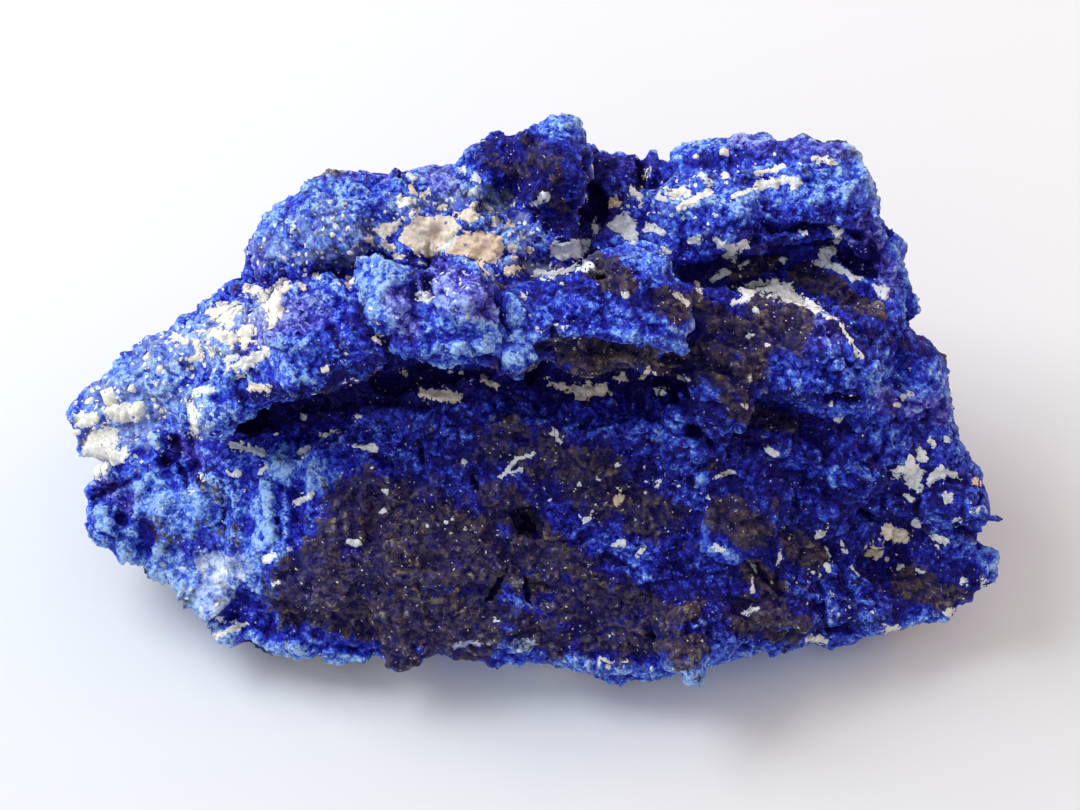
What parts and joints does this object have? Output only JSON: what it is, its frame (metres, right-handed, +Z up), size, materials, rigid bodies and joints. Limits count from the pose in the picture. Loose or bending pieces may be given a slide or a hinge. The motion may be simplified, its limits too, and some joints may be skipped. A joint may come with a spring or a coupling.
{
  "type": "mineral specimen",
  "caption": "Rough wedge-shaped hand specimen of azurite grown over pale clay, with a knobbly ridge, a layered slab and a flat fracture to rest on",
  "frame": {"origin": "middle of the flat fracture that the stone rests on", "axes": "+Z up from the table, +X along the longest side, -Y towards the displayed face"},
  "size_m": [0.0951, 0.0511, 0.0416],
  "materials": {
    "azurite": "rough granular mineral, deep blue with near-black brown areas, azure crusts and off-white clay"
  },
  "bodies": {
    "root": {"azurite_specimen": "azurite"}
  },
  "joints": []
}
